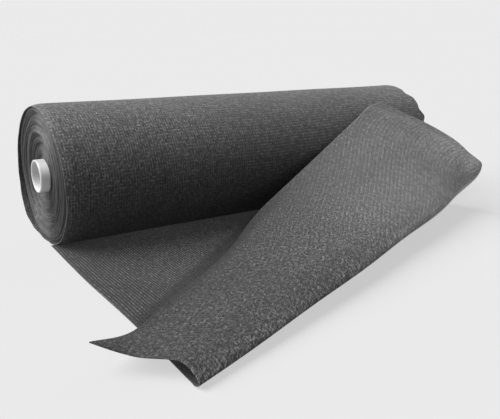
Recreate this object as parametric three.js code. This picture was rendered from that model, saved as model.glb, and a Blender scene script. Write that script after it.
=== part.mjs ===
// A roll of knitted privacy netting on its core tube, with the loose end run out over the floor
// and folded back over itself. Millimetres. X runs along the roll, -Y is the front, +Z is up.
// The origin is on the floor, under the middle of the roll.
import * as THREE from 'three';

// Roll
const NETTING_WIDTH = 1000;
const HALF_WIDTH = NETTING_WIDTH / 2;
const ROLL_RADIUS = 155.5;
const ROLL_TOP_TAPER = 7;
const SAG_WIDE = 1.024;
const SAG_HIGH = 0.965;
const FLAT_SPOT_DEPTH = 2.1;
const TURN_STEP = 1.6;
const ROLL_AXIS_Z = ROLL_RADIUS * SAG_HIGH - FLAT_SPOT_DEPTH;
const ROLL_ANGLES = 72;
const LOOSE_TURN_THICK = 3;

// Core tube
const TUBE_RADIUS = 35;
const TUBE_BORE_RADIUS = 31;
const TUBE_NEAR_OUT = 16;
const TUBE_FAR_OUT = 8;
const TUBE_BEVEL = 0.6;
const TUBE_ANGLES = 48;
const SEAT_GAP = 0.3;

// Loose end
const CLOTH_THICK = 1.6;
const NIP_START = 31;
const NIP_LEFT = -506;
const NIP_RIGHT = 489;
const ACROSS_CELLS = 32;
const SELVEDGE_RIDGE_AT = 0.945;
const SELVEDGE_RIDGE_WIDTH = 0.03;
const SELVEDGE_RIDGE_HIGH = 7;

// The edges of the outermost turn. Columns: degrees round the roll from the floor, up the back,
// how far the edge stands out beyond the cut width, how far it has dropped inwards.
const NEAR_RIM = [
  { degrees: 0, out: 1, drop: 0 },
  { degrees: 17, out: 4, drop: 0 },
  { degrees: 30, out: 11, drop: 0 },
  { degrees: 45, out: 15, drop: 0 },
  { degrees: 60, out: 14, drop: 0 },
  { degrees: 77, out: 11.3, drop: 0 },
  { degrees: 102, out: 9, drop: 0 },
  { degrees: 128, out: 7, drop: 0.5 },
  { degrees: 145, out: 6.5, drop: 1.5 },
  { degrees: 163, out: 6.5, drop: 4 },
  { degrees: 190, out: 7, drop: 5 },
  { degrees: 216, out: 8, drop: 4 },
  { degrees: 240, out: 5.5, drop: 3.5 },
  { degrees: 265, out: 4, drop: 3 },
  { degrees: 289, out: 1.5, drop: 3 },
  { degrees: 310, out: 2, drop: 3 },
  { degrees: 335, out: 1, drop: 1.5 },
  { degrees: 360, out: 1, drop: 0 },
];
const FAR_RIM = [
  { degrees: 0, out: 0, drop: 0 },
  { degrees: 60, out: 2, drop: 0 },
  { degrees: 120, out: -1, drop: 0 },
  { degrees: 180, out: -1, drop: 0 },
  { degrees: 200, out: -2, drop: 0 },
  { degrees: 207, out: -8, drop: 0 },
  { degrees: 217, out: 4, drop: 0 },
  { degrees: 225, out: 3, drop: 0 },
  { degrees: 232, out: -2, drop: 0 },
  { degrees: 241, out: 6, drop: 0 },
  { degrees: 249, out: -4, drop: 0 },
  { degrees: 262, out: 2, drop: 0 },
  { degrees: 280, out: -3, drop: 0 },
  { degrees: 300, out: 3, drop: 0 },
  { degrees: 330, out: -1, drop: 0 },
  { degrees: 360, out: 0, drop: 0 },
];
const RIM_ROUND = 22;

// End faces of the roll, from the rim inwards. Turns have slipped along the axis in groups.
// Columns: radius, how far that turn stands out beyond the cut width, share of the unevenness,
// how far that turn lies above the axis, because the outer turns sag round the tight inner ones.
const NEAR_TURNS = [
  { radius: 147.5, out: -4, uneven: 0.2, lift: 2.5 },
  { radius: 144.5, out: 5, uneven: 0.6, lift: 4 },
  { radius: 137, out: 7, uneven: 1, lift: 5 },
  { radius: 130, out: 1, uneven: 1, lift: 5 },
  { radius: 123, out: 4, uneven: 1, lift: 5 },
  { radius: 114, out: 6, uneven: 1, lift: 4.7 },
  { radius: 108.5, out: 0, uneven: 1, lift: 4.4 },
  { radius: 103, out: 3, uneven: 1, lift: 4 },
  { radius: 91, out: 5, uneven: 1, lift: 3.5 },
  { radius: 85, out: -2, uneven: 1, lift: 3 },
  { radius: 80, out: 1, uneven: 1, lift: 2.7 },
  { radius: 72, out: 2, uneven: 1, lift: 2.2 },
  { radius: 66.5, out: -4, uneven: 0.8, lift: 1.8 },
  { radius: 61, out: -1, uneven: 0.8, lift: 1.3 },
  { radius: 51, out: -2, uneven: 0.6, lift: 0.7 },
  { radius: 44, out: -6, uneven: 0.3, lift: 0.2 },
  { radius: TUBE_RADIUS + SEAT_GAP, out: -4, uneven: 0, lift: 0 },
];
const FAR_TURNS = [
  { radius: 147, out: -4, uneven: 0.6, lift: 2.5 },
  { radius: 135, out: 1, uneven: 1, lift: 5 },
  { radius: 118, out: -4, uneven: 1, lift: 5 },
  { radius: 100, out: 0, uneven: 1, lift: 4 },
  { radius: 80, out: -5, uneven: 1, lift: 2.7 },
  { radius: 56, out: -8, uneven: 0.6, lift: 1 },
  { radius: TUBE_RADIUS + SEAT_GAP, out: -10, uneven: 0, lift: 0 },
];
const FACE_UNEVEN = 1.6;
const INNER_SQUASH = 0.012;

// Lines across the loose end, from its left selvedge (0) to its right selvedge (1).
// Each line has one point for each of these places across the width.
const ACROSS = [0, 0.08, 0.2, 0.4, 0.6, 0.8, 0.94, 1];

// Columns of every line: x, y, z of the cloth's middle surface.
// Along the lower layer, before it leaves the floor. Columns: share of the way there, how far
// the left selvedge bows outwards.
const ON_FLOOR = [
  { share: 0, bow: 0 },
  { share: 0.35, bow: 1.5 },
  { share: 0.7, bow: -2.5 },
];
// Where the lower layer leaves the floor.
const LEAVES_FLOOR = [
  [-529, -694, 0.8],
  [-443, -657, 0.8],
  [-322, -601, 0.8],
  [-120, -508, 0.8],
  [81, -414, 0.8],
  [283, -321, 0.8],
  [424, -256, 0.8],
  [485, -228, 0.8],
];
// The underside of the soft fold.
const FOLD_UNDER = [
  [-531, -713, 3],
  [-445, -677, 4.5],
  [-324, -624, 7],
  [-122, -536, 10],
  [80, -449, 14],
  [282, -363, 18],
  [423, -307, 25],
  [484, -283, 31],
];
// The outermost line of the fold.
const FOLD_OUTER = [
  [-530, -722, 10],
  [-446, -691, 14],
  [-324, -648, 22],
  [-122, -573, 34],
  [79, -494, 46],
  [280, -414, 58],
  [421, -353, 77],
  [483, -350, 113],
];
// The top of the fold, where the cloth turns back.
const FOLD_TOP = [
  [-537, -686, 29],
  [-452, -674, 25],
  [-332, -626, 33],
  [-131, -546, 50],
  [67, -466, 67],
  [266, -388, 90],
  [408, -340, 118],
  [465, -318, 155],
];
// Half way from the fold to the cut end.
const FLAP_MIDDLE = [
  [-584, -641, 31],
  [-506, -618, 27],
  [-392, -552, 32],
  [-200, -452, 49],
  [-12, -348, 83],
  [186, -284, 143],
  [324, -254, 201],
  [387, -257, 217],
];
// The cut end, from its raised left tip to the corner that stands up in front of the roll.
const CUT_END = [
  [-632, -608, 51],
  [-557, -565, 28],
  [-453, -480, 21],
  [-267, -356, 32],
  [-89, -225, 69],
  [108, -176, 161],
  [244, -162, 239],
  [301, -169, 272],
];
// Cells between one line and the next, from the roll to the cut end.
const CELLS_ALONG = [2, 2, 3, 4, 5, 6, 7, 8];

const nettingMaterial = new THREE.MeshStandardMaterial({
  color: 0x3a3c3e,
  roughness: 0.9,
  metalness: 0,
  name: 'netting',
});
const coreMaterial = new THREE.MeshStandardMaterial({
  color: 0xc9c8c3,
  roughness: 0.6,
  metalness: 0,
  name: 'core',
});

// A closed surface from a grid that wraps round in both directions.
function ringSolid(grid) {
  const positions = [];
  const index = [];
  const rows = grid.length;
  const cols = grid[0].length;
  for (const row of grid) {
    for (const p of row) {
      positions.push(p.x, p.y, p.z);
    }
  }
  for (let i = 0; i < rows; i += 1) {
    const iNext = (i + 1) % rows;
    for (let j = 0; j < cols; j += 1) {
      const jNext = (j + 1) % cols;
      const a = i * cols + j;
      const b = iNext * cols + j;
      const c = iNext * cols + jNext;
      const d = i * cols + jNext;
      index.push(a, b, c, a, c, d);
    }
  }
  return solidGeometry(positions, index);
}

// A geometry from its corners, turned inside out if its volume comes out negative.
function solidGeometry(positions, index) {
  let volume = 0;
  const corner = (k) => new THREE.Vector3().fromArray(positions, 3 * k);
  for (let k = 0; k < index.length; k += 3) {
    const a = corner(index[k]);
    const b = corner(index[k + 1]);
    const c = corner(index[k + 2]);
    volume += a.dot(b.cross(c));
  }
  const faces = volume < 0 ? index.slice().reverse() : index;
  const geometry = new THREE.BufferGeometry();
  geometry.setAttribute('position', new THREE.Float32BufferAttribute(positions, 3));
  geometry.setIndex(faces);
  geometry.computeVertexNormals();
  return geometry;
}

// Angle 0 is at the floor, and grows up the back, over the top and down the front, the way the
// netting is wound. Each turn lies one step inside the turn that covers it.
function rollPoint(x, radius, angle, onRim, lift = 0) {
  const depth = (radius - TUBE_RADIUS) / (ROLL_RADIUS - TUBE_RADIUS);
  const sag = THREE.MathUtils.clamp(depth, 0, 1);
  const wound = onRim ? TURN_STEP * angle / (2 * Math.PI) : TURN_STEP * sag;
  const squash = 1 + INNER_SQUASH * Math.sin(Math.PI * sag) * Math.cos(2 * (angle - 0.6));
  const along = x / NETTING_WIDTH + 0.5;
  const taper = ROLL_TOP_TAPER * along * sag * (1 - Math.cos(angle)) / 2;
  const r = (radius - wound) * squash - taper;
  const wide = 1 + (SAG_WIDE - 1) * sag;
  const high = 1 + (SAG_HIGH - 1) * sag;
  const y = r * wide * Math.sin(angle);
  const z = ROLL_AXIS_Z + lift - r * high * Math.cos(angle);
  return new THREE.Vector3(x, y, Math.max(z, 0));
}

// One column of a rim table, read at any angle.
function rimValue(rim, angle, column) {
  const degrees = THREE.MathUtils.radToDeg(angle);
  let i = 0;
  while (i < rim.length - 2 && degrees > rim[i + 1].degrees) {
    i += 1;
  }
  const share = THREE.MathUtils.smoothstep(degrees, rim[i].degrees, rim[i + 1].degrees);
  return rim[i][column] + (rim[i + 1][column] - rim[i][column]) * share;
}

function faceUneven(radius, angle) {
  return FACE_UNEVEN * Math.sin(angle + radius / 9) + 0.6 * Math.sin(3 * angle - radius / 13);
}

function woundRoll() {
  const grid = [];
  const addRow = (pointAt) => {
    const row = [];
    for (let j = 0; j < ROLL_ANGLES; j += 1) {
      row.push(pointAt(2 * Math.PI * j / ROLL_ANGLES));
    }
    grid.push(row);
  };
  // Outer surface, from the near edge, which rounds inwards, to the far edge.
  for (const share of [0, 0.35, 0.7, 1]) {
    addRow((a) => {
      const x = -HALF_WIDTH - rimValue(NEAR_RIM, a, 'out') + RIM_ROUND * share;
      const drop = rimValue(NEAR_RIM, a, 'drop') * (1 - share) ** 2;
      return rollPoint(x, ROLL_RADIUS - drop, a, true);
    });
  }
  for (const share of [0.35, 0.68, 0.97]) {
    addRow((a) => rollPoint(NETTING_WIDTH * (share - 0.5), ROLL_RADIUS, a, true));
  }
  addRow((a) => rollPoint(HALF_WIDTH + rimValue(FAR_RIM, a, 'out'), ROLL_RADIUS, a, true));
  // Far face, rim to bore.
  for (const turn of FAR_TURNS) {
    addRow((a) => {
      const out = turn.out + turn.uneven * faceUneven(turn.radius, a);
      return rollPoint(HALF_WIDTH + out, turn.radius, a, false, turn.lift);
    });
  }
  // Near face, bore to rim, then the inside of the loose outer turn.
  for (const turn of NEAR_TURNS.slice().reverse()) {
    addRow((a) => {
      const out = turn.out + turn.uneven * faceUneven(turn.radius, a);
      return rollPoint(-HALF_WIDTH - out, turn.radius, a, false, turn.lift);
    });
  }
  addRow((a) => {
    const radius = ROLL_RADIUS - rimValue(NEAR_RIM, a, 'drop') - LOOSE_TURN_THICK;
    const p = rollPoint(0, radius, a, true);
    p.x = -HALF_WIDTH - rimValue(NEAR_RIM, a, 'out');
    p.z = Math.max(p.z, LOOSE_TURN_THICK);
    return p;
  });
  return ringSolid(grid);
}

function coreTube() {
  const nearX = -HALF_WIDTH - TUBE_NEAR_OUT;
  const farX = HALF_WIDTH + TUBE_FAR_OUT;
  const profile = [
    { x: nearX + TUBE_BEVEL, radius: TUBE_RADIUS },
    { x: farX - TUBE_BEVEL, radius: TUBE_RADIUS },
    { x: farX, radius: TUBE_RADIUS - TUBE_BEVEL },
    { x: farX, radius: TUBE_BORE_RADIUS },
    { x: nearX, radius: TUBE_BORE_RADIUS },
    { x: nearX, radius: TUBE_RADIUS - TUBE_BEVEL },
  ];
  const grid = profile.map((corner) => {
    const row = [];
    for (let j = 0; j < TUBE_ANGLES; j += 1) {
      const a = 2 * Math.PI * j / TUBE_ANGLES;
      const y = corner.radius * Math.sin(a);
      const z = ROLL_AXIS_Z - corner.radius * Math.cos(a);
      row.push(new THREE.Vector3(corner.x, y, z));
    }
    return row;
  });
  return ringSolid(grid);
}

// A smooth line across the width through the points of one table.
function lineAcross(table) {
  const curve = new THREE.CatmullRomCurve3(table.map((p) => new THREE.Vector3(...p)));
  return (u) => {
    let i = 0;
    while (i < ACROSS.length - 2 && u > ACROSS[i + 1]) {
      i += 1;
    }
    const share = (u - ACROSS[i]) / (ACROSS[i + 1] - ACROSS[i]);
    return curve.getPoint((i + share) / (ACROSS.length - 1));
  };
}

const LINES_UP = [LEAVES_FLOOR, FOLD_UNDER, FOLD_OUTER, FOLD_TOP, FLAP_MIDDLE, CUT_END]
  .map(lineAcross);

// The middle surface of the loose end: u across the width, k along it in whole lines.
function clothRib(u) {
  const end = LINES_UP[0](u);
  const startX = NIP_LEFT + u * (NIP_RIGHT - NIP_LEFT);
  const start = new THREE.Vector3(startX, -NIP_START, CLOTH_THICK / 2);
  const floor = ON_FLOOR.map((place) => {
    const p = start.clone().lerp(end, place.share);
    p.x -= place.bow * (1 - u);
    return p;
  });
  const rib = new THREE.CatmullRomCurve3([...floor, ...LINES_UP.map((line) => line(u))]);
  const ridge = Math.exp(-(((u - SELVEDGE_RIDGE_AT) / SELVEDGE_RIDGE_WIDTH) ** 2));
  return (k) => {
    const p = rib.getPoint(k / (floor.length + LINES_UP.length - 1));
    const onFlap = THREE.MathUtils.smoothstep(k, 5.3, 6.6);
    p.z += SELVEDGE_RIDGE_HIGH * ridge * onFlap;
    p.z = Math.max(p.z, CLOTH_THICK / 2);
    return p;
  };
}

function looseEnd() {
  const steps = [0];
  CELLS_ALONG.forEach((cells, line) => {
    for (let c = 1; c <= cells; c += 1) {
      steps.push(line + c / cells);
    }
  });
  const small = 1e-3;
  const top = [];
  const under = [];
  for (let i = 0; i <= ACROSS_CELLS; i += 1) {
    const u = i / ACROSS_CELLS;
    const rib = clothRib(u);
    const ribLow = clothRib(Math.max(u - small, 0));
    const ribHigh = clothRib(Math.min(u + small, 1));
    top.push([]);
    under.push([]);
    for (const k of steps) {
      const p = rib(k);
      const across = ribHigh(k).sub(ribLow(k));
      const ahead = Math.min(k + small, 8);
      const behind = Math.max(k - small, 0);
      const along = rib(ahead).sub(rib(behind));
      const normal = along.cross(across).normalize();
      top[i].push(p.clone().addScaledVector(normal, -CLOTH_THICK / 2));
      under[i].push(p.clone().addScaledVector(normal, CLOTH_THICK / 2));
    }
  }
  return sheetSolid(top, under);
}

// A closed sheet from its two faces.
function sheetSolid(top, under) {
  const rows = top.length;
  const cols = top[0].length;
  const positions = [];
  for (const face of [top, under]) {
    for (const row of face) {
      for (const p of row) {
        positions.push(p.x, p.y, p.z);
      }
    }
  }
  const at = (i, j) => i * cols + j;
  const below = rows * cols;
  const index = [];
  const quad = (a, b, c, d) => index.push(a, b, c, a, c, d);
  for (let i = 0; i < rows - 1; i += 1) {
    for (let j = 0; j < cols - 1; j += 1) {
      quad(at(i, j), at(i + 1, j), at(i + 1, j + 1), at(i, j + 1));
      quad(below + at(i, j), below + at(i, j + 1), below + at(i + 1, j + 1), below + at(i + 1, j));
    }
  }
  for (let i = 0; i < rows - 1; i += 1) {
    quad(at(i + 1, 0), at(i, 0), below + at(i, 0), below + at(i + 1, 0));
    const last = cols - 1;
    quad(at(i, last), at(i + 1, last), below + at(i + 1, last), below + at(i, last));
  }
  for (let j = 0; j < cols - 1; j += 1) {
    quad(at(0, j), at(0, j + 1), below + at(0, j + 1), below + at(0, j));
    const last = rows - 1;
    quad(at(last, j + 1), at(last, j), below + at(last, j), below + at(last, j + 1));
  }
  return solidGeometry(positions, index);
}

function part(name, geometry, material) {
  const mesh = new THREE.Mesh(geometry, material);
  mesh.name = name;
  return mesh;
}

const group = new THREE.Group();
group.name = 'privacy_screen_netting';
group.add(part('core_tube', coreTube(), coreMaterial));
group.add(part('wound_roll', woundRoll(), nettingMaterial));
group.add(part('loose_end', looseEnd(), nettingMaterial));
export default group;
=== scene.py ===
import math
from types import SimpleNamespace

import bpy
import numpy as np
from mathutils import Matrix, Vector


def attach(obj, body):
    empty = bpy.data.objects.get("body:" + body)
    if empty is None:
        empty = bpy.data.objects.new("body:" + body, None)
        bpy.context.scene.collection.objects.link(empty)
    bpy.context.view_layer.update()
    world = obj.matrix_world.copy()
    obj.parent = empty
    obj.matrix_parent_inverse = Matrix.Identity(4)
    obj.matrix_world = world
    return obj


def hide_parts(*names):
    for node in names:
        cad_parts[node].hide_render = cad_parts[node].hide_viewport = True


# Metres, unless a table says millimetres. X runs along the roll, -Y is the front, +Z is up, and
# the origin is on the floor under the middle of the roll.

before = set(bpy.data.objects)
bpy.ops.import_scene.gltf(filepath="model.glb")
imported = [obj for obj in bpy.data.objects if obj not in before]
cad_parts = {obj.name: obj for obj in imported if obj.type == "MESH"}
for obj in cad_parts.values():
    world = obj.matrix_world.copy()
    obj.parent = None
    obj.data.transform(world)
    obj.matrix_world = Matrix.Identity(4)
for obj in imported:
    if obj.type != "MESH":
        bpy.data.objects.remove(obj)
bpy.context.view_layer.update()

MM = 0.001

# Roll
WIDTH = 1.0
HALF = WIDTH / 2
ROLL_R = 0.1555
SAG_WIDE = 1.024
SAG_HIGH = 0.965
FLAT_SPOT_DEPTH = 0.0021
AXIS_Z = ROLL_R * SAG_HIGH - FLAT_SPOT_DEPTH
TOP_TAPER = 0.007
TURN_STEP = 0.0016
INNER_SQUASH = 0.012
SQUASH_TURN = 0.6
RIM_ROUND = 0.022
OUTERMOST_TURN_R = 0.1485

# Core tube
TUBE_R = 0.035
BORE_R = 0.031
SEAT = 0.0003
TUBE_STANDS_NEAR = 0.016
TUBE_STANDS_FAR = 0.008
BORE_CHAMFER = 0.0007
TUBE_CHAMFER = 0.0009
TUBE_SUPPORT = 0.004

# Cloth
CLOTH = 0.0014
NIP_START = 0.031

# The uv is in metres of cloth, and also tells the surfaces apart. The roll has its v below two
# and the loose end has two more. A face that lay inwards has two more in u. A wound end has u
# below minus one by its radius, and v for its angle.
INWARD_U = 2.0
LOOSE_V = 2.0
END_U = -1.0
END_V_PER_RADIAN = 0.1
U_BEFORE_RIM = 0.016


def smooth(a, b, t):
    s = np.clip((t - a) / (b - a), 0, 1)
    return s * s * (3 - 2 * s)


def swell(t, centre, width):
    return np.exp(-(((t - centre) / width) ** 2))


def add_mesh(name, verts, faces, uvs=None):
    """A mesh from arrays of corners, four-sided faces and one uv for each face corner."""
    me = bpy.data.meshes.new(name)
    n_faces = len(faces)
    me.vertices.add(len(verts))
    me.vertices.foreach_set("co", np.asarray(verts, np.float32).ravel())
    me.loops.add(n_faces * 4)
    me.loops.foreach_set("vertex_index", np.asarray(faces, np.int32).ravel())
    me.polygons.add(n_faces)
    me.polygons.foreach_set("loop_start", np.arange(0, n_faces * 4, 4, dtype=np.int32))
    me.polygons.foreach_set("use_smooth", np.ones(n_faces, bool))
    me.update(calc_edges=True)
    if uvs is not None:
        layer = me.uv_layers.new(name="Cloth")
        layer.data.foreach_set("uv", np.asarray(uvs, np.float32).ravel())
    me.validate()
    ob = bpy.data.objects.new(name, me)
    bpy.context.scene.collection.objects.link(ob)
    return ob


def grid_faces(rows, cols, start=0, flip=False):
    """Faces of a grid of corners, each row one after the other."""
    i, j = np.meshgrid(np.arange(rows - 1), np.arange(cols - 1), indexing="ij")
    a = (i * cols + j).ravel() + start
    b = a + cols
    return np.stack([a, a + 1, b + 1, b] if flip else [a, b, b + 1, a + 1], 1)


class Patches:
    """Grids and other patches that are gathered into one mesh."""

    def __init__(self):
        self.verts = []
        self.faces = []
        self.uvs = []
        self.count = 0

    def add(self, verts, faces, face_uvs):
        self.verts.append(verts)
        self.faces.append(faces + self.count)
        self.uvs.append(face_uvs)
        self.count += len(verts)

    def add_grid(self, grid, u, v, flip=False):
        faces = grid_faces(grid.shape[0], grid.shape[1], flip=flip)
        uv = np.stack(np.broadcast_arrays(u, v), -1).reshape(-1, 2)
        self.add(grid.reshape(-1, 3), faces, uv[faces.ravel()])

    def mesh(self, name):
        verts, faces, uvs = (np.concatenate(part) for part in (self.verts, self.faces, self.uvs))
        return add_mesh(name, verts, faces, uvs)


# Wound roll

def roll_point(x, radius, angle, on_rim, lift=0.0):
    """A point of the sagging roll. The angle runs from the floor, up the back."""
    depth = (radius - TUBE_R) / (ROLL_R - TUBE_R)
    sag = np.clip(depth, 0, 1)
    wound = TURN_STEP * angle / (2 * np.pi) if on_rim else TURN_STEP * sag
    squash = 1 + INNER_SQUASH * np.sin(np.pi * sag) * np.cos(2 * (angle - SQUASH_TURN))
    along = x / WIDTH + 0.5
    taper = TOP_TAPER * along * sag * (1 - np.cos(angle)) / 2
    r = (radius - wound) * squash - taper
    wide = 1 + (SAG_WIDE - 1) * sag
    high = 1 + (SAG_HIGH - 1) * sag
    y = r * wide * np.sin(angle)
    z = AXIS_Z + lift - r * high * np.cos(angle)
    x, y, z = np.broadcast_arrays(x, y, z)
    return np.stack([x, y, np.maximum(z, 0)], -1)


# Edges of the outermost turn: degrees round the roll from the floor, up the back, then
# millimetres that the edge stands out, and millimetres that it has dropped inwards.
NEAR_RIM = [(0, 1, 0), (17, 4, 0), (30, 11, 0), (45, 15, 0), (60, 14, 0), (77, 11.3, 0), (102, 9, 0),
            (128, 7, 0.5), (145, 6.5, 1.5), (163, 6.5, 4), (190, 7, 5), (216, 8, 4), (240, 5.5, 3.5),
            (265, 4, 3), (289, 1.5, 3), (310, 2, 3), (335, 1, 1.5), (360, 1, 0)]
FAR_RIM = [(0, 0, 0), (60, 2, 0), (120, -1, 0), (180, -1, 0), (200, -2, 0), (207, -8, 0), (217, 4, 0),
           (225, 3, 0), (232, -2, 0), (241, 6, 0), (249, -4, 0), (262, 2, 0), (280, -3, 0),
           (300, 3, 0), (330, -1, 0), (360, 0, 0)]

# How the edge of the outermost turn goes in: millimetres inwards, millimetres towards the far
# end, and millimetres of cloth from the edge.
NEAR_LIP = [(0, 0, 1), (0.8, -0.6, 2), (1.8, 0, 3), (2.2, 6, 9), (3, 24, 27)]
FAR_LIP = [(0, 0, 1), (0.8, 0.6, 2), (1.8, 0, 3), (4, -4, 9), (8.5, -12, 27)]
LIP_EDGE_ROWS = 3

# Groups of turns: radius, how far they stand out past the cut width, how far they lie above
# the axis, in millimetres.
NEAR_TURNS = [(147.5, -4, 2.5), (144.5, 5, 4), (137, 7, 5), (130, 1, 5), (123, 4, 5), (114, 6, 4.7),
              (108.5, 0, 4.4), (103, 3, 4), (91, 5, 3.5), (85, -2, 3), (80, 1, 2.7), (72, 2, 2.2),
              (66.5, -4, 1.8), (61, -1, 1.3), (51, -2, 0.7), (44, -6, 0.2), (35.3, -4, 0)]
FAR_TURNS = [(147, -4, 2.5), (135, 1, 5), (118, -4, 5), (100, 0, 4), (80, -5, 2.7), (56, -8, 1),
             (35.3, -10, 0)]

# A turn's edge in section: share of the way to the next turn, and height from -1 in the gap to
# 1 on the crest. What is SECTION_ZERO high lies level with the group's place.
TURN_SECTION = [(0.0, -0.6), (0.1, 0.7), (0.3, 1.0), (0.5, 0.8), (0.62, -0.6), (0.82, -1.0)]
SECTION_ZERO = 0.6
# The two wound ends: side, groups of turns, random seed, turns, and steps in one turn.
WOUND_ENDS = [(-1, NEAR_TURNS, 5, 44, 150), (1, FAR_TURNS, 11, 40, 96)]
FACE_WAVE = 0.0016
FACE_RIPPLE = 0.0006
TURN_JITTER = 0.0014
EDGE_WAVE = 0.0006
GAP_DEPTH = 0.0011
GAP_DEPTH_WAVE = 0.0006
ANY_PHASE = 6.28
SMALLEST_CELL = 1e-9

BODY_STEPS = 180
BODY_STATIONS = 110
END_CROWDING = 0.75
BODY_WAVE = 0.0005
BODY_RIPPLE = 0.0004
BORE_STEPS = 64
BORE_STATIONS = (-HALF + 0.004, 0, HALF - 0.01)


def rim_value(rim, angle, column):
    table = np.array(rim, float)
    degrees = np.degrees(angle)
    i = np.clip(np.searchsorted(table[:, 0], degrees, side="right") - 1, 0, len(rim) - 2)
    share = smooth(0, 1, (degrees - table[i, 0]) / (table[i + 1, 0] - table[i, 0]))
    return (table[i, column] + (table[i + 1, column] - table[i, column]) * share) * MM


def turn_value(groups, radius, column):
    rows = np.array(groups, float)[::-1] * MM
    return np.interp(radius, rows[:, 0], rows[:, column])


def face_uneven(radius, angle):
    wave = FACE_WAVE * np.sin(angle + radius / 0.009)
    return wave + FACE_RIPPLE * np.sin(3 * angle - radius / 0.013)


def rand(n, seed):
    return np.random.RandomState(seed).rand(n)


def spiral_faces(total, steps, samples, flip):
    """Faces of the spiral. The last row of a turn's section joins the first row of the next."""
    base = np.arange(total)
    faces = []
    for s in range(samples):
        if s < samples - 1:
            at = base
            c = (at + 1) * samples + s + 1
            d = at * samples + s + 1
        else:
            at = base[base + steps + 1 <= total]
            c = (at + 1 + steps) * samples
            d = (at + steps) * samples
        a = at * samples + s
        b = (at + 1) * samples + s
        faces.append(np.stack([a, b, c, d] if flip else [a, d, c, b], 1))
    return np.concatenate(faces)


def end_face(side, groups, seed, turns, steps):
    """The wound turns seen at one end of the roll: one spiral of cloth edges with gaps between.
    Returns corners, faces and uvs."""
    total = turns * steps
    q = np.arange(total + 1)
    angle = 2 * np.pi * (q % steps) / steps
    turn = q / steps
    jitter = rand(turns + 3, seed) - 0.5
    wave_at = rand(turns + 3, seed + 1) * ANY_PHASE
    # Turns crowd in places and stand apart in others.
    number = np.arange(turns + 1)
    gap = 1 + 0.3 * np.sin(number * 1.1 + seed) + 0.5 * (rand(turns + 1, seed + 2) - 0.5)
    inward_by = np.concatenate([[0], np.cumsum(gap)])
    inward_by = inward_by / inward_by[turns]
    whole = np.minimum(turn.astype(int), turns)
    part = turn - whole
    own = jitter[whole] * (1 - part) + jitter[whole + 1] * part
    phase = wave_at[whole] * (1 - part) + wave_at[whole + 1] * part
    depth = GAP_DEPTH + GAP_DEPTH_WAVE * np.sin(turn * 2.1)
    fade = smooth(0, 1.0, turn) * smooth(0, 1.5, turns - turn)
    reach = TUBE_R + SEAT - OUTERMOST_TURN_R
    rows_xyz = []
    rows_uv = []
    for share, high in TURN_SECTION:
        t = np.minimum(turn + share, turns)
        radius = OUTERMOST_TURN_R + reach * np.interp(t, np.arange(turns + 2), inward_by)
        out = turn_value(groups, radius, 1) + fade * face_uneven(radius, angle)
        edge = TURN_JITTER * own + EDGE_WAVE * np.sin(3 * angle + phase) + depth * (high - SECTION_ZERO)
        x = side * (HALF + out + fade * edge)
        rows_xyz.append(roll_point(x, radius, angle, False, turn_value(groups, radius, 2)))
        rows_uv.append(np.stack([END_U - radius, angle * END_V_PER_RADIAN], -1))
    verts = np.stack(rows_xyz, 1).reshape(-1, 3)
    uv = np.stack(rows_uv, 1).reshape(-1, 2)
    faces = spiral_faces(total, steps, len(TURN_SECTION), flip=side < 0)
    # Where the spiral ends, its cells close to nothing and are left out.
    across = verts[faces[:, 2]] - verts[faces[:, 0]]
    along = verts[faces[:, 3]] - verts[faces[:, 1]]
    faces = faces[np.linalg.norm(np.cross(across, along), axis=1) > SMALLEST_CELL]
    return verts, faces, uv[faces.ravel()]


def netting_roll():
    a = 2 * np.pi * np.arange(BODY_STEPS + 1) / BODY_STEPS
    s = np.linspace(0, 1, BODY_STATIONS)
    s = s - END_CROWDING * np.sin(2 * np.pi * s) / (2 * np.pi)
    near_drop = rim_value(NEAR_RIM, a, 2)
    near = -HALF - rim_value(NEAR_RIM, a, 1)
    far = HALF + rim_value(FAR_RIM, a, 1)
    x = near + (far - near) * s[:, None]
    angle = np.broadcast_to(a, x.shape)
    from_near = np.clip((x - near) / RIM_ROUND, 0, 1)
    drop = near_drop * (1 - from_near) ** 2
    # The cloth is a little uneven, but not at its edges and not on the floor.
    fade = smooth(0, 0.03, s)[:, None] * smooth(0, 0.03, 1 - s)[:, None]
    off_floor = smooth(0.15, 0.5, np.abs(np.sin(angle / 2)))
    soft = BODY_WAVE * np.sin(9 * x + 2.3 * np.sin(2 * angle)) * np.sin(3 * angle + 4 * x)
    soft = soft + BODY_RIPPLE * (np.sin(17 * x - 3 * np.cos(angle) + 0.8) - 1)
    radius = ROLL_R - drop + fade * off_floor * soft
    v = angle * ROLL_R
    patches = Patches()
    patches.add_grid(roll_point(x, radius, angle, True), x + HALF + U_BEFORE_RIM, v, flip=True)
    # The near edge turns in, and the inside of the loose outer turn goes back to the wound ones.
    inset, back, lip_u = np.array(NEAR_LIP).T[:, :, None] * MM
    lip = roll_point(near + back, ROLL_R - near_drop - inset, a, True)
    lip[..., 2] = np.maximum(lip[..., 2], inset)
    edge = LIP_EDGE_ROWS
    patches.add_grid(lip[:edge], lip_u[:edge], a * ROLL_R)
    patches.add_grid(lip[edge - 1:], INWARD_U + lip_u[edge - 1:], a * ROLL_R)
    # The far edge turns in too.
    inset, back, lip_u = np.array(FAR_LIP).T[:, :, None] * MM
    patches.add_grid(roll_point(far + back, ROLL_R - inset, a, True), 1 - lip_u, a * ROLL_R, flip=True)
    for wound_end in WOUND_ENDS:
        patches.add(*end_face(*wound_end))
    # The bore that the core tube fills.
    bore_a = 2 * np.pi * np.arange(BORE_STEPS + 1) / BORE_STEPS
    bore_x = np.array(BORE_STATIONS)[:, None]
    bore = roll_point(bore_x, TUBE_R + SEAT, bore_a, False)
    patches.add_grid(bore, bore_x, bore_a * TUBE_R)
    return patches.mesh("netting_roll")


# Loose end

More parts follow.
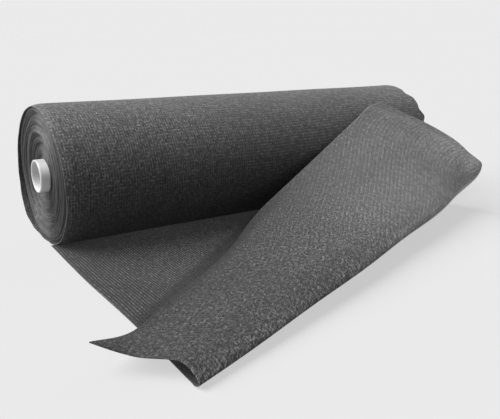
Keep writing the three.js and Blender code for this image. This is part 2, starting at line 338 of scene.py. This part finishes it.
# Points across the width, and the lines across the loose end at those points, in millimetres.
ACROSS = [0, 0.08, 0.2, 0.4, 0.6, 0.8, 0.94, 1]
LEAVES_FLOOR = [(-529, -694, 0.8), (-443, -657, 0.8), (-322, -601, 0.8), (-120, -508, 0.8),
                (81, -414, 0.8), (283, -321, 0.8), (424, -256, 0.8), (485, -228, 0.8)]
FOLD_UNDER = [(-531, -713, 3), (-445, -677, 4.5), (-324, -624, 7), (-122, -536, 10),
              (80, -449, 14), (282, -363, 18), (423, -307, 25), (484, -283, 31)]
FOLD_OUTER = [(-530, -722, 10), (-446, -691, 14), (-324, -648, 22), (-122, -573, 34),
              (79, -494, 46), (280, -414, 58), (421, -353, 77), (483, -350, 113)]
FOLD_TOP = [(-537, -686, 29), (-452, -674, 25), (-332, -626, 33), (-131, -546, 50),
            (67, -466, 67), (266, -388, 90), (408, -340, 118), (465, -318, 155)]
FLAP_MIDDLE = [(-584, -641, 31), (-506, -618, 27), (-392, -552, 32), (-200, -452, 49),
               (-12, -348, 83), (186, -284, 143), (324, -254, 201), (387, -257, 217)]
CUT_END = [(-632, -608, 51), (-557, -565, 28), (-453, -480, 21), (-267, -356, 32),
           (-89, -225, 69), (108, -176, 161), (244, -162, 239), (301, -169, 272)]
LIFTED_LINES = (FOLD_UNDER, FOLD_OUTER, FOLD_TOP, FLAP_MIDDLE, CUT_END)

# The line at the nip, in millimetres, and rows of the floor part between it and where the cloth
# leaves the floor: share of the way, and millimetres that the row bows out at the left.
NIP_LEFT = -506
NIP_LENGTH = 995
LIES_AT = 0.8
FLOOR_ROWS = [(0, 0), (0.35, 1.5), (0.7, -2.5)]

# Row numbers run along the loose end: 0 at the nip, 3 where it leaves the floor, 6 at the top of
# the fold and 8 at the cut end. The finished grid: first row number, last row number, cells.
CELLS_ACROSS = 180
CELLS_ALONG = [(0, 3, 34), (3, 6, 76), (6, 8, 80)]
LOWEST_TOP = 0.0004
FLAP_WAVE = 0.0016
FLAP_RIPPLE = 0.0009
FLOOR_WAVE = 0.0005
FOLD_RIPPLE = 0.0007
DRAWN_APART = 0.20
RIDGE_HEIGHT = 0.007
TAB_OUT = 0.007
TAB_IN = 0.004


def through(points, at):
    """A smooth curve through points (n, ..., 3), read at the places at (0 to n - 1)."""
    points = np.asarray(points, float)
    n = len(points)
    at = np.asarray(at, float)
    first = np.minimum(at.astype(int), n - 2)
    w = at - first
    padded = np.concatenate([[2 * points[0] - points[1]], points, [2 * points[-1] - points[-2]]])
    p0, p1, p2, p3 = (padded[first + k] for k in range(4))

    def root_step(a, b):
        return np.maximum(np.sqrt(np.sqrt(((b - a) ** 2).sum(-1, keepdims=True))), 1e-6)

    d0, d1, d2 = root_step(p0, p1), root_step(p1, p2), root_step(p2, p3)
    t1 = ((p1 - p0) / d0 - (p2 - p0) / (d0 + d1) + (p2 - p1) / d1) * d1
    t2 = ((p2 - p1) / d1 - (p3 - p1) / (d1 + d2) + (p3 - p2) / d2) * d1
    w = w.reshape(w.shape + (1,) * (p1.ndim - w.ndim))
    c2 = -3 * p1 + 3 * p2 - 2 * t1 - t2
    c3 = 2 * p1 - 2 * p2 + t1 + t2
    return p1 + w * (t1 + w * (c2 + w * c3))


def cloth_surface(u, k):
    """The middle surface of the loose end, in metres, for arrays u (0 to 1) and k (0 to 8)."""
    place = np.interp(u, ACROSS, np.arange(len(ACROSS)))
    leaves = through(LEAVES_FLOOR, place)
    level = np.full_like(u, LIES_AT)
    nip = np.stack([NIP_LEFT + u * NIP_LENGTH, np.full_like(u, -NIP_START / MM), level], -1)
    rows = []
    for share, bow in FLOOR_ROWS:
        row = nip + (leaves - nip) * share
        row[:, 0] -= bow * (1 - u)
        rows.append(row)
    rows.append(leaves)
    rows.extend(through(line, place) for line in LIFTED_LINES)
    return through(np.stack(rows), k) * MM


def along_rows(surface):
    """Length of each step along the cloth, with a row of zeros first."""
    step = np.linalg.norm(np.diff(surface, axis=0), axis=-1)
    return np.concatenate([np.zeros((1, surface.shape[1])), step])


def sheet_normal(surface):
    """Normal of the sheet, pointing to the side that is up on the floor."""
    normal = np.cross(np.gradient(surface, axis=0), np.gradient(surface, axis=1))
    normal /= np.linalg.norm(normal, axis=-1, keepdims=True)
    middle = surface.shape[1] // 2
    return -normal if normal[2, middle, 2] < 0 else normal


def edge_faces(rows, cols):
    """Faces that close the four edges between the two grids of a sheet."""
    n = rows * cols
    left = np.arange(rows - 1) * cols
    near = np.arange(cols - 1)
    edges = ((left, cols, False), (left + cols - 1, cols, True),
             (near, 1, True), (near + (rows - 1) * cols, 1, False))
    faces = []
    for a, step, flip in edges:
        b = a + step
        faces.append(np.stack([a, b, b + n, a + n] if flip else [b, a, a + n, b + n], 1))
    return faces


def loose_end():
    """The sheet, its mean length and its greatest length."""
    u = np.linspace(0, 1, CELLS_ACROSS + 1)
    starts = [np.linspace(first, last, cells, endpoint=False) for first, last, cells in CELLS_ALONG]
    row_at = np.concatenate(starts + [[CELLS_ALONG[-1][1]]])
    p = cloth_surface(u, row_at)
    k = row_at[:, None]
    on_flap = smooth(5.3, 6.6, k)
    on_floor = 1 - smooth(2.6, 3.4, k)
    # A soft ridge runs beside the right selvedge of the flap.
    p[..., 2] += RIDGE_HEIGHT * swell(u, 0.962, 0.022) * on_flap
    # A small tab stands out at the right end of the fold.
    p[..., 0] += smooth(0.965, 1.0, u) * (TAB_OUT * swell(k, 5.25, 0.22) - TAB_IN * swell(k, 5.95, 0.3))
    normal = sheet_normal(p)
    # Soft creases and waves of the lifted cloth, and a fine unevenness of what lies flat.
    lift = on_flap * FLAP_WAVE * np.sin(7.5 * u + 1.3 * k) * np.sin(2.2 * k + 0.7)
    lift += on_flap * FLAP_RIPPLE * np.sin(21 * u - 1.7 * k + 0.9)
    lift += on_floor * FLOOR_WAVE * (1 + np.sin(16 * u + 2.1 * k) * np.sin(9 * u - 1.4 * k))
    lift += (1 - on_floor) * (1 - on_flap) * FOLD_RIPPLE * np.sin(19 * u + 0.6 * k)
    p = p + normal * lift[..., None]
    p[..., 2] = np.maximum(p[..., 2], CLOTH / 2)
    step = along_rows(p)
    length = np.cumsum(step, axis=0)[-1]
    top = p + normal * CLOTH / 2
    under = p - normal * CLOTH / 2
    top[..., 2] = np.maximum(top[..., 2], LOWEST_TOP)
    under[..., 2] = np.maximum(under[..., 2], 0)
    rows, cols = p.shape[:2]
    verts = np.concatenate([top.reshape(-1, 3), under.reshape(-1, 3)])
    flat = [grid_faces(rows, cols), grid_faces(rows, cols, start=rows * cols, flip=True)]
    faces = np.concatenate(flat + edge_faces(rows, cols))
    # Rows of stitches in the lifted cloth are drawn apart.
    drawn = 1 - DRAWN_APART * smooth(3.5, 5.5, k)
    v = LOOSE_V + np.cumsum(step * drawn, axis=0)
    outward = np.stack([np.broadcast_to(u * WIDTH, v.shape), v], -1).reshape(-1, 2)
    corner_uv = np.concatenate([outward + [INWARD_U, 0], outward])[faces.ravel()]
    # The edges count as outward.
    edge_u = corner_uv[sum(len(f) for f in flat) * 4:, 0]
    edge_u[edge_u >= INWARD_U] -= INWARD_U
    ob = add_mesh("netting_sheet", verts, faces, corner_uv)
    return ob, float(length.mean()), float(length.max())


# Core tube

TUBE_STEPS = 128


def core_tube():
    a = 2 * np.pi * np.arange(TUBE_STEPS + 1) / TUBE_STEPS
    near = -HALF - TUBE_STANDS_NEAR
    far = HALF + TUBE_STANDS_FAR
    # The section: x, then radius.
    section = [(near + TUBE_SUPPORT, BORE_R), (near + BORE_CHAMFER, BORE_R), (near, BORE_R + BORE_CHAMFER),
               (near, TUBE_R - TUBE_CHAMFER), (near + TUBE_CHAMFER, TUBE_R), (near + TUBE_SUPPORT, TUBE_R),
               (0, TUBE_R), (far - TUBE_CHAMFER, TUBE_R), (far, TUBE_R - TUBE_CHAMFER),
               (far, BORE_R + BORE_CHAMFER), (far - BORE_CHAMFER, BORE_R), (0, BORE_R),
               (near + TUBE_SUPPORT, BORE_R)]
    x, r = np.array(section).T[:, :, None]
    grid = np.stack(np.broadcast_arrays(x, r * np.sin(a), AXIS_Z - r * np.cos(a)), -1)
    patches = Patches()
    patches.add_grid(grid, x, a * TUBE_R)
    return patches.mesh("tube")


# Shader values

class Field:
    """A number or place that varies over a surface: the output of a shader node. Arithmetic with
    it adds Math nodes to the same material."""

    def __init__(self, tree, socket):
        self.tree = tree
        self.socket = socket

    def math(self, operation, first, second=0.0):
        node = self.tree.nodes.new("ShaderNodeMath")
        node.operation = operation
        feed(node, 0, first)
        feed(node, 1, second)
        return Field(self.tree, node.outputs[0])

    def __add__(self, other):
        return self.math("ADD", self, other)

    def __sub__(self, other):
        return self.math("SUBTRACT", self, other)

    def __rsub__(self, other):
        return self.math("SUBTRACT", other, self)

    def __mul__(self, other):
        return self.math("MULTIPLY", self, other)

    def __truediv__(self, other):
        return self.math("DIVIDE", self, other)

    def __mod__(self, other):
        return self.math("MODULO", self, other)

    def __gt__(self, other):
        return self.math("GREATER_THAN", self, other)

    def __lt__(self, other):
        return self.math("LESS_THAN", self, other)

    def __abs__(self):
        return self.math("ABSOLUTE", self)

    __radd__ = __add__
    __rmul__ = __mul__

    def floor(self):
        return self.math("FLOOR", self)

    def fract(self):
        return self.math("FRACT", self)

    def cosine(self):
        return self.math("COSINE", self)

    def root(self):
        return self.math("SQRT", self)

    def at_most(self, other):
        return self.math("MINIMUM", self, other)

    def at_least(self, other):
        return self.math("MAXIMUM", self, other)


def feed(node, key, value):
    """Links a Field to an input of a node, or sets the input to a plain number."""
    if isinstance(value, Field):
        value.tree.links.new(value.socket, node.inputs[key])
    else:
        node.inputs[key].default_value = value


def ramp(value, start, end, kind="SMOOTHSTEP"):
    """Goes from one (place, level) to another, and stays level outside them."""
    node = value.tree.nodes.new("ShaderNodeMapRange")
    node.interpolation_type = kind
    feed(node, "Value", value)
    feed(node, "From Min", start[0])
    feed(node, "From Max", end[0])
    feed(node, "To Min", start[1])
    feed(node, "To Max", end[1])
    return Field(value.tree, node.outputs["Result"])


def straight(value, start, end):
    """A ramp without soft ends."""
    return ramp(value, start, end, "LINEAR")


def choose(share, yes, no):
    """What yes says where the share is one, and what no says where it is zero."""
    return no + share * (yes - no)


def joined(x, y):
    node = x.tree.nodes.new("ShaderNodeCombineXYZ")
    feed(node, 0, x)
    feed(node, 1, y)
    return Field(x.tree, node.outputs[0])


def parts(place):
    """The x, y and z of a place."""
    node = place.tree.nodes.new("ShaderNodeSeparateXYZ")
    feed(node, 0, place)
    return [Field(place.tree, socket) for socket in node.outputs]


def noise(place, scale, detail=2.0, rough=0.5):
    node = place.tree.nodes.new("ShaderNodeTexNoise")
    feed(node, "Vector", place)
    feed(node, "Scale", scale)
    feed(node, "Detail", detail)
    feed(node, "Roughness", rough)
    return Field(place.tree, node.outputs["Fac"])


def random_at(x, y):
    """A random number from 0 to 1. It is the same wherever x and y are the same."""
    node = x.tree.nodes.new("ShaderNodeTexWhiteNoise")
    node.noise_dimensions = "2D"
    feed(node, "Vector", joined(x, y))
    return Field(x.tree, node.outputs["Value"])


def new_material(name):
    material = bpy.data.materials.new(name)
    material.use_nodes = True
    tree = material.node_tree
    shader = next(node for node in tree.nodes if node.type == "BSDF_PRINCIPLED")
    return material, tree, shader


def set_grey(shader, level):
    """The base colour is a grey of this level."""
    node = level.tree.nodes.new("ShaderNodeCombineColor")
    for channel in range(3):
        feed(node, channel, level)
    feed(shader, "Base Color", Field(level.tree, node.outputs[0]))


def set_bump(shader, height, strength, distance):
    node = height.tree.nodes.new("ShaderNodeBump")
    feed(node, "Strength", strength)
    feed(node, "Distance", distance)
    feed(node, "Height", height)
    feed(shader, "Normal", Field(height.tree, node.outputs[0]))


# Netting material. Places and widths on the cloth are in metres.

WALE = 0.0058
REPEAT = 0.0074
STITCHES = 3
WANDER = 0.012
TAPE_BLUR = 0.06
TAPE_SALT = 61.7
CHAIN_SALT = 17.3
NETTING_LEVEL = 0.106
CALM_TONE = 0.5
GAP_TONE = 0.11

# The fold crosses the cloth at FOLD_V at the left, and FOLD_SLANT less at the right.
FOLD_V = 0.694
FOLD_SLANT = 0.36
CREST_SLANT = 0.028
# Length of the cloth at the left, in the middle and at the right of its cut end.
CUT_V = (0.829, 0.752, 0.605)
# The edge of the flap above the floor part.
FLAP_EDGE_V = 0.466
FLAP_EDGE_SLANT = 0.83

# Painted light and painted shade on the outward face of the loose end.
PAINTED_CREST_LIGHT = 0.95
PAINTED_TIP_LIGHT = 0.65
PAINTED_RIDGE_HIGHLIGHT = 0.16
PAINTED_CUT_SHADE = 0.84
PAINTED_BESIDE_CUT_SHADE = 0.10
# Painted shade on the floor part and the roll. The inward shares are the inward face's own duller tone and
# painted shade.
UNDER_FLAP_SHADE = 0.86
NIP_CORNER_SHADE = 0.45
LEFT_SHADE = 0.30
ROLL_FRONT_SHADE = 0.42
INWARD_TONE_AND_SHADE = 0.62
LOOSE_INWARD_TONE_AND_SHADE = 0.14

# How light the cloth edges are across the wound end: radius in millimetres, share of the
# cloth's tone. It is partly the edges' own tone and partly painted shade, dark in the gaps
# between groups of turns, round the tube and inside the outer turn.
END_RINGS = [(35.3, 0.30), (39, 0.50), (47, 0.66), (55, 0.80), (61, 0.66), (66, 0.52), (72, 0.70),
             (78, 0.80), (83, 0.62), (88, 0.85), (96, 1.18), (102, 0.85), (107, 0.58), (112, 0.88),
             (115, 0.97), (121, 0.56), (126, 0.95), (131, 1.18), (136, 0.92), (142, 0.58),
             (146, 0.44), (149, 0.25)]
RING_TONE = 0.37
STREAKS_ACROSS = 420.0
STREAKS_ALONG = 16.0
FRONT_ANGLE = 4.9
LIT_ANGLE = 3.05


def read_cloth(tree):
    """What the uv of the cloth says of a point: its place, which surface it is on, and its place
    in rows of stitches."""
    node = tree.nodes.new("ShaderNodeUVMap")
    node.uv_map = "Cloth"
    place = Field(tree, node.outputs[0])
    raw_u, raw_v, _ = parts(place)
    loose = raw_v > LOOSE_V - 0.5
    inward = raw_u > INWARD_U - 0.5
    u = raw_u - inward * INWARD_U
    v = raw_v - loose * LOOSE_V
    # A slow wander keeps the rows from running dead straight.
    shift = (noise(place, 5.0) - 0.5) * WANDER
    return SimpleNamespace(
        place=place,
        u=u,
        v=v,
        loose=loose,
        inward=inward,
        outward_loose=loose * (1 - inward),
        on_floor=inward * loose,
        at_end=raw_u < END_U / 2,
        radius=END_U - raw_u,
        wales=(u + shift) / WALE,
        courses=(v + shift) / REPEAT,
    )


def tape(cloth, centre, lean, half, salt, dull, bright, low):
    """A flat tape laid from chain to chain in each repeat, with a small gap at its ends. Its
    centre and half its width are in repeats. Returns its own random number, tone and height."""
    across = cloth.wales.fract() - 0.5
    at = cloth.courses - (across * lean + (centre - 0.5))
    off = abs(at.fract() - 0.5)
    cover = ramp(off, (half + TAPE_BLUR, 0), (half - TAPE_BLUR, 1))
    own = random_at(cloth.wales.floor() + salt, at.floor())
    return own, cover * (own * bright + dull), cover * (own * 0.4 + low)


def chain(cloth):
    """Chains of stitches along the cloth. Returns their height, their tone and a painted glint,
    a highlight painted on some stitches."""
    from_chain = 0.5 - abs(cloth.wales.fract() - 0.5)
    in_stitch = abs((cloth.courses * STITCHES).fract() - 0.5)
    cover = ramp(from_chain, (0.25, 0), (0.09, 1)) * ramp(in_stitch, (0.5, 0.6), (0.2, 1.0))
    number = (cloth.wales + 0.5).floor() + CHAIN_SALT
    own = random_at(number, (cloth.courses * 2).floor())
    tone = cover * (own * 1.10 + 0.30) * ramp(cloth.u, (0.25, 1.0), (0.60, 0.62))
    # The single layer on the floor shows its chains most.
    tone = tone * (cloth.on_floor * 1.75 + 1)
    own_stitch = random_at(number, (cloth.courses * STITCHES).floor())
    # Painted glint: a few stitches are painted bright, as highlights.
    glint = ramp(own_stitch, (0.955, 0), (0.985, 1)) * ramp(in_stitch, (0.45, 0), (0.15, 1))
    strength = ramp(cloth.u, (0.30, 1.1), (0.60, 0.6)) - cloth.loose * 0.55
    return cover, tone, glint * cover * strength


def knit(cloth):
    """The tone and height of the knit, and the random number of its wider tapes."""
    own_a, tone_a, height_a = tape(cloth, centre=0.27, lean=0.30, half=0.23, salt=0.0,
                                   dull=0.34, bright=0.56, low=0.35)
    _, tone_b, height_b = tape(cloth, centre=0.77, lean=-0.36, half=0.15, salt=TAPE_SALT,
                               dull=0.14, bright=0.42, low=0.25)
    chain_height, chain_tone, glint = chain(cloth)
    tone = tone_a.at_least(tone_b) * (1 - cloth.on_floor * 0.62)
    # The painted glint is added to the tone.
    tone = tone.at_least(chain_tone).at_least(GAP_TONE) + glint
    # Patches of the cloth differ a little, and the selvedge is knitted closer.
    patch = ramp(noise(cloth.place, 170.0, 2.0, 0.7), (0.3, 0.76), (0.7, 1.24))
    cloud = ramp(noise(cloth.place, 5.0, 3.0, 0.6), (0.3, 0.92), (0.7, 1.06))
    from_edge = cloth.u.at_most(1 - cloth.u)
    selvedge = ramp(from_edge, (0.030, 1.0), (0.024, 1.08))
    tone = tone * patch * (cloud * selvedge)
    # The knit shows less on the left of the roll and on the flap.
    calm = (cloth.outward_loose * ramp(cloth.u, (0.50, 0.42), (0.85, 0.60))
            + (1 - cloth.loose) * ramp(cloth.u, (0.30, 0.25), (0.55, 0.05)))
    tone = tone + (CALM_TONE - tone) * calm
    return tone * dots(cloth) * grain(cloth), height_a.at_least(height_b).at_least(chain_height), own_a


def dots(cloth):
    """Stitches that stand out as dots. In every other half course they stand between those of
    the last."""
    half_course = (cloth.courses * 2).floor()
    stagger = half_course % 2 * 0.5
    column = (cloth.wales * (2 - cloth.outward_loose) + stagger).floor()
    strength = choose(cloth.outward_loose, ramp(cloth.u, (0.34, 1.25), (0.66, 0.30)),
                      ramp(cloth.u, (0.30, 1.10), (0.55, 0.60)))
    return (random_at(column, half_course) - 0.5) * strength + 1


def grain(cloth):
    """The flap is grainy in its left half and smoother to the right."""
    uneven = noise(joined(cloth.u * 165.0, cloth.v * 330.0), 1.0, 2.0, 0.6)
    strength = cloth.outward_loose * ramp(cloth.u, (0.45, 1.0), (0.80, 0.2))
    return ramp(uneven, (0.36, -0.85), (0.64, 0.85)) * strength + 1


def painted_flap_light(cloth):
    """Painted light on the outward face of the loose end. A single loose layer is painted darker
    where it lies on another one, and painted lighter where it hangs free, with painted highlights
    on the crest of the fold, at the raised tip and along the ridge beside the right selvedge."""
    u = cloth.u
    from_fold = cloth.v - (FOLD_V - u * FOLD_SLANT)
    deep = ramp(u, (0.7, 0.58), (0.95, 0.74))
    # Painted light: lighter to the right and where it hangs free, darker where it lies over another layer.
    light = ramp(u, (0.25, 0.33), (0.93, 1.58)) * ramp(from_fold, (0.05, 1.06), (0.24, deep))
    past = from_fold + u * CREST_SLANT
    crest = ramp(past, (-0.05, 0), (-0.02, 1)) * ramp(past, (0.030, 0), (-0.004, 1))
    tip = ramp(u, (0.86, 0), (0.985, 1)) * ramp(from_fold, (0.17, 0), (0.08, 1))
    ridge = ramp(u, (0.945, 0), (0.965, 1)) * ramp(u, (0.985, 0), (0.970, 1))
    # Painted highlights on the crest of the fold, the raised tip and the ridge.
    light = light * (crest * PAINTED_CREST_LIGHT + 1) * (tip * PAINTED_TIP_LIGHT + 1) * (ridge * PAINTED_RIDGE_HIGHLIGHT + 1)
    # Painted shade close to its cut end on the left, and a little painted shade beside it on the right.
    left, middle, right = CUT_V
    cut = straight(u, (0.0, left), (0.5, middle)) + straight(u, (0.5, 0.0), (1.0, right - middle))
    to_cut = cut - cloth.v
    near_cut_shade = ramp(to_cut, (0.026, 0), (0.002, 1)) * ramp(u, (0.75, 0), (0.45, 1))
    near_cut_shade = near_cut_shade * ramp(u, (0.03, 0), (0.12, PAINTED_CUT_SHADE))
    beside_cut_shade = ramp(to_cut, (0.22, 0), (0.05, PAINTED_BESIDE_CUT_SHADE)) * ramp(u, (0.35, 0), (0.55, 1))
    beside_cut_shade = beside_cut_shade * ramp(u, (0.97, 0), (0.88, 1))
    return choose(cloth.outward_loose, light * (1 - near_cut_shade) * (1 - beside_cut_shade), 1)


def painted_shade(cloth):
    """The share of light that is left after painted shade. The inward face is duller: its own
    duller tone and painted shade. The floor part has painted shade close to the edge of the flap
    above it and beside the roll's near end, and the roll has painted shade under its front."""
    u = cloth.u
    # The inward face: its own duller tone and painted shade.
    inward = 1 - cloth.inward * (cloth.loose * LOOSE_INWARD_TONE_AND_SHADE + INWARD_TONE_AND_SHADE)
    from_flap = (FLAP_EDGE_V - u * FLAP_EDGE_SLANT) - cloth.v
    # Painted shade under the edge of the flap.
    under_flap = ramp(from_flap, (0.026, 0), (0.0, UNDER_FLAP_SHADE))
    # Painted shade in the nip at the roll's near end and along the left of the floor part.
    nip_corner = ramp(u, (0.20, 0), (0.02, 1)) * ramp(cloth.v, (0.10, 0), (0.0, NIP_CORNER_SHADE))
    beside = nip_corner.at_least(ramp(u, (0.20, 0), (0.02, LEFT_SHADE)))
    floor_part = (1 - cloth.on_floor * under_flap) * (1 - cloth.on_floor * beside)
    # Painted shade on the roll's lower front.
    roll_front = 1 - (1 - cloth.loose) * ramp(cloth.v, (0.60, 0), (0.86, ROLL_FRONT_SHADE))
    return inward * floor_part * roll_front


def ring_ramp(radius):
    """The tone of END_RINGS at a radius."""
    node = radius.tree.nodes.new("ShaderNodeValToRGB")
    stops = node.color_ramp.elements
    low = END_RINGS[0][0]
    high = END_RINGS[-1][0]
    # A stop's colour ends at one, and the lightest ring is above that, so all are halved.
    for i, (mm, shade) in enumerate(END_RINGS):
        place = (mm - low) / (high - low)
        stop = stops[i] if i < 1 else stops.new(place)
        stop.position = place
        stop.color = (shade / 2, shade / 2, shade / 2, 1)
    stops.remove(stops[len(stops) - 1])
    feed(node, 0, straight(radius, (low * MM, 0), (high * MM, 1)))
    return Field(radius.tree, node.outputs[0]) * 2


def wound_end(cloth):
    """Tone and height of the wound ends: rings of cloth edges, streaked along the turns, with
    painted shade in the rings and painted light that is lighter at the top and darker at the bottom.
    """
    streak = noise(joined(cloth.radius * STREAKS_ACROSS, cloth.v * STREAKS_ALONG), 1.0, 3.0, 0.65)
    angle = cloth.v / END_V_PER_RADIAN
    # The rings aren't round, and are pushed together at the front.
    front = (angle - FRONT_ANGLE).cosine().at_least(0.0)
    pushed = front * straight(cloth.radius, (0.08, -0.005), (0.147, 0.0035))
    bent = cloth.radius + (noise(cloth.place, 4.0) - 0.5) * 0.008 + pushed
    # Painted light: the wound end is lighter at its top and darker at its bottom.
    painted_top_light = (angle - LIT_ANGLE).cosine() * 0.23 + 0.83
    tone = ring_ramp(bent) * RING_TONE * painted_top_light * ramp(streak, (0.3, 0.6), (0.7, 1.4))
    return tone, streak


def netting_material():
    """Warp-knitted netting: chains of stitches, with flat tapes laid from chain to chain.
    Its tone also carries painted light, painted shade and painted glints.
    """
    material, tree, shader = new_material("netting_knit")
    cloth = read_cloth(tree)
    tone, height, own_tape = knit(cloth)
    # Painted light and painted shade on the netting's tone.
    tone = tone * painted_flap_light(cloth) * painted_shade(cloth)
    end_tone, streak = wound_end(cloth)
    set_grey(shader, choose(cloth.at_end, end_tone, tone) * NETTING_LEVEL)
    set_bump(shader, choose(cloth.at_end, streak, height), strength=0.7, distance=0.0010)
    feed(shader, "Roughness", ramp(own_tape, (0.4, 0.72), (1.0, 0.50)))
    shader.inputs["Specular IOR Level"].default_value = 0.3
    shader.inputs["Sheen Weight"].default_value = 0.05
    shader.inputs["Sheen Roughness"].default_value = 0.6
    return material


# Tube and floor materials

# Tones of the tube: painted light on the front of its outside, painted shade on its near cut edge.
OUTSIDE_TONE_PAINTED_LIGHT_FRONT = 0.54
OUTSIDE_TONE = 0.30
INSIDE_TONE = 0.42
CUT_EDGE_PAINTED_SHADE = 0.80
WALL_MARGIN = 0.0005


def tube_material():
    """Plain pale plastic, a little mottled. Its outside is painted lighter in front and darker
    behind, the bore has a tone between them, and its near cut edge has painted shade."""
    material, tree, shader = new_material("tube_plastic")
    node = tree.nodes.new("ShaderNodeTexCoord")
    place = Field(tree, node.outputs["Object"])
    fine = noise(place, 420.0)
    slow = noise(place, 28.0, 3.0)
    x, y, z = parts(place)
    above = z - AXIS_Z
    radius = (y * y + above * above).root()
    # Painted light: the outside is lighter in front and darker behind.
    outside = ramp(y, (-0.030, OUTSIDE_TONE_PAINTED_LIGHT_FRONT), (-0.006, OUTSIDE_TONE))
    level = ramp(slow, (0.3, 0.92), (0.7, 1.06)) + (fine - 0.5) * 0.06
    level = level * straight(radius, (BORE_R + WALL_MARGIN, INSIDE_TONE), (TUBE_R - WALL_MARGIN, outside))
    near = -HALF - TUBE_STANDS_NEAR
    # Painted shade on the near cut edge.
    level = level * ramp(x, (near + 0.0018, 1.0), (near + 0.0008, CUT_EDGE_PAINTED_SHADE))
    set_grey(shader, level)
    set_bump(shader, fine, strength=0.2, distance=0.0003)
    feed(shader, "Roughness", ramp(slow, (0.3, 0.5), (0.7, 0.65)))
    return material


def floor_material():
    """A pale floor. Most of its light is its own, so that shadows on it stay faint."""
    material, _, shader = new_material("floor_plain")
    shader.inputs["Base Color"].default_value = (0.15, 0.15, 0.15, 1)
    shader.inputs["Roughness"].default_value = 1.0
    shader.inputs["Specular IOR Level"].default_value = 0.0
    shader.inputs["Emission Color"].default_value = (1, 1, 1, 1)
    shader.inputs["Emission Strength"].default_value = 0.458
    return material


# The pieces

netting = netting_material()

roll = netting_roll()
roll.data.materials.append(netting)
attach(roll, "root")
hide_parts("wound_roll")

sheet, sheet_length, longest = loose_end()
sheet.data.materials.append(netting)
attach(sheet, "root")
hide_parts("loose_end")

tube = core_tube()
tube.data.materials.append(tube_material())
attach(tube, "root")
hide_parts("core_tube")

# Floor, light and camera

FLOOR_REACH = 60.0
FLOOR_BELOW = 0.0002
# The studio wall is as pale as the floor up to eleven degrees, and dim overhead: the sine of the
# height above the horizon, and strength.
WALL_TOP = (0.19, 0.8265)
OVERHEAD = (0.42, 0.07)
# Soft lights: direction that they come from, width in degrees, strength, and whether they
# throw a shadow.
LIGHTS = {"key": ((-0.66, 0.32, 0.68), 60, 7.2, True),
          "fill": ((-0.1, 0.1, 1.0), 20, 2.0, False),
          "end_fill": ((-1.0, -0.12, 0.15), 50, 1.0, True),
          "far_fill": ((1.0, 0.3, 0.25), 40, 0.9, True)}
# The camera that was fitted to the photograph.
PHOTO_WIDTH_PX = 500
FOCAL_PX = 659.77
SENSOR_MM = 36
SHIFT = (-0.00014, 0.0416)
CAMERA_PLACE = (-0.8897, -1.3836, 0.4474)
LOOKS_TOWARD = (0.5269, 0.7976, -0.2936)
LEVEL_RIGHT = (0.8344, -0.5512, 0.0)

scene = bpy.context.scene


def add_floor():
    sides = (-FLOOR_REACH, FLOOR_REACH)
    corners = [(x, y, 0) for y in sides for x in sides]
    floor = add_mesh("floor_plate", corners, [(0, 1, 3, 2)])
    floor.location.z = -FLOOR_BELOW
    floor.data.materials.append(floor_material())


def add_world():
    world = bpy.data.worlds.new("studio")
    scene.world = world
    world.use_nodes = True
    tree = world.node_tree
    background = tree.nodes["Background"]
    toward = Field(tree, tree.nodes.new("ShaderNodeTexCoord").outputs["Generated"])
    _, _, rise = parts(toward)
    background.inputs["Color"].default_value = (1, 1, 1, 1)
    feed(background, "Strength", ramp(rise, WALL_TOP, OVERHEAD))


def soft_sun(name, toward, spread, strength, shadow):
    data = bpy.data.lights.new(name, "SUN")
    data.angle = math.radians(spread)
    data.energy = strength
    data.use_shadow = shadow
    ob = bpy.data.objects.new(name, data)
    ob.rotation_euler = Vector(toward).to_track_quat("Z", "Y").to_euler()
    scene.collection.objects.link(ob)


def add_camera():
    data = bpy.data.cameras.new("camera")
    data.sensor_width = SENSOR_MM
    data.sensor_fit = "HORIZONTAL"
    data.lens = FOCAL_PX / PHOTO_WIDTH_PX * SENSOR_MM
    data.shift_x, data.shift_y = SHIFT
    data.clip_start = 0.05
    camera = bpy.data.objects.new("camera", data)
    forward = Vector(LOOKS_TOWARD).normalized()
    right = Vector(LEVEL_RIGHT).normalized()
    up = right.cross(forward).normalized()
    turn = Matrix((right, up, -forward)).transposed().to_4x4()
    camera.matrix_world = Matrix.Translation(CAMERA_PLACE) @ turn
    scene.collection.objects.link(camera)
    scene.camera = camera


add_floor()
add_world()
for light_name, light in LIGHTS.items():
    soft_sun(light_name, *light)
scene.view_settings.view_transform = "Standard"
add_camera()

bpy.context.view_layer.update()
